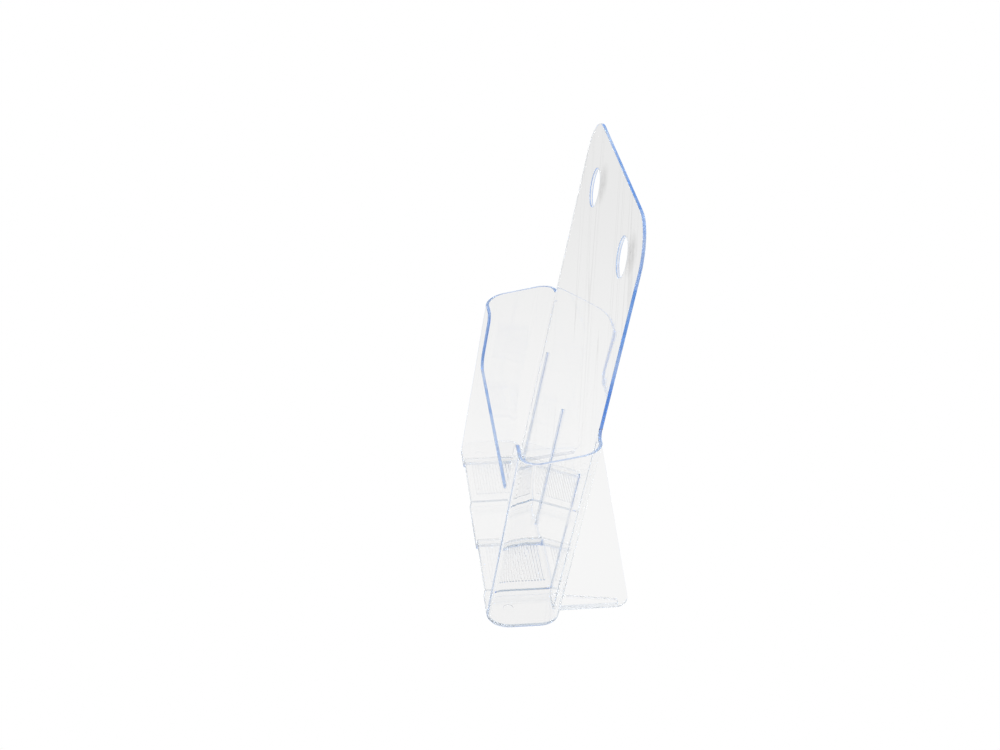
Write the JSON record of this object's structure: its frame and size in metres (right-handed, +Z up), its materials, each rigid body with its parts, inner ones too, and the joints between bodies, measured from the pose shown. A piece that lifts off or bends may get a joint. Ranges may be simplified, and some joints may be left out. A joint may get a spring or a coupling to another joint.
{
  "type": "leaflet holder",
  "caption": "Clear leaning leaflet pocket with a tall holed back panel, cut-down front, stepped ridged floor and rear stand fins, for a counter or wall.",
  "frame": {"origin": "middle of the centre foot's underside, on the desk", "axes": "+Z up, +X to the right of a person facing the front, -Y towards that person"},
  "size_m": [0.2318, 0.0937, 0.2624],
  "materials": {
    "clear_sheet": "polished clear polystyrene, blue-tinted where seen edge on",
    "clear_floor": "polished clear polystyrene",
    "ridged_floor": "clear polystyrene with fine moulded ridges",
    "clear_rib": "polished clear polystyrene, blue-tinted",
    "clear_fin": "polished clear polystyrene"
  },
  "bodies": {
    "root": {"back_panel": "clear_sheet", "front_wall": "clear_sheet", "left_side_wall": "clear_sheet", "right_side_wall": "clear_sheet", "left_end_foot": "clear_floor", "centre_foot": "clear_floor", "right_end_foot": "clear_floor", "left_grip_pad": "ridged_floor", "right_grip_pad": "ridged_floor", "left_rib": "clear_rib", "centre_rib": "clear_rib", "right_rib": "clear_rib", "left_stand_fin": "clear_fin", "right_stand_fin": "clear_fin", "left_fin_flange": "clear_fin", "right_fin_flange": "clear_fin"}
  },
  "joints": []
}
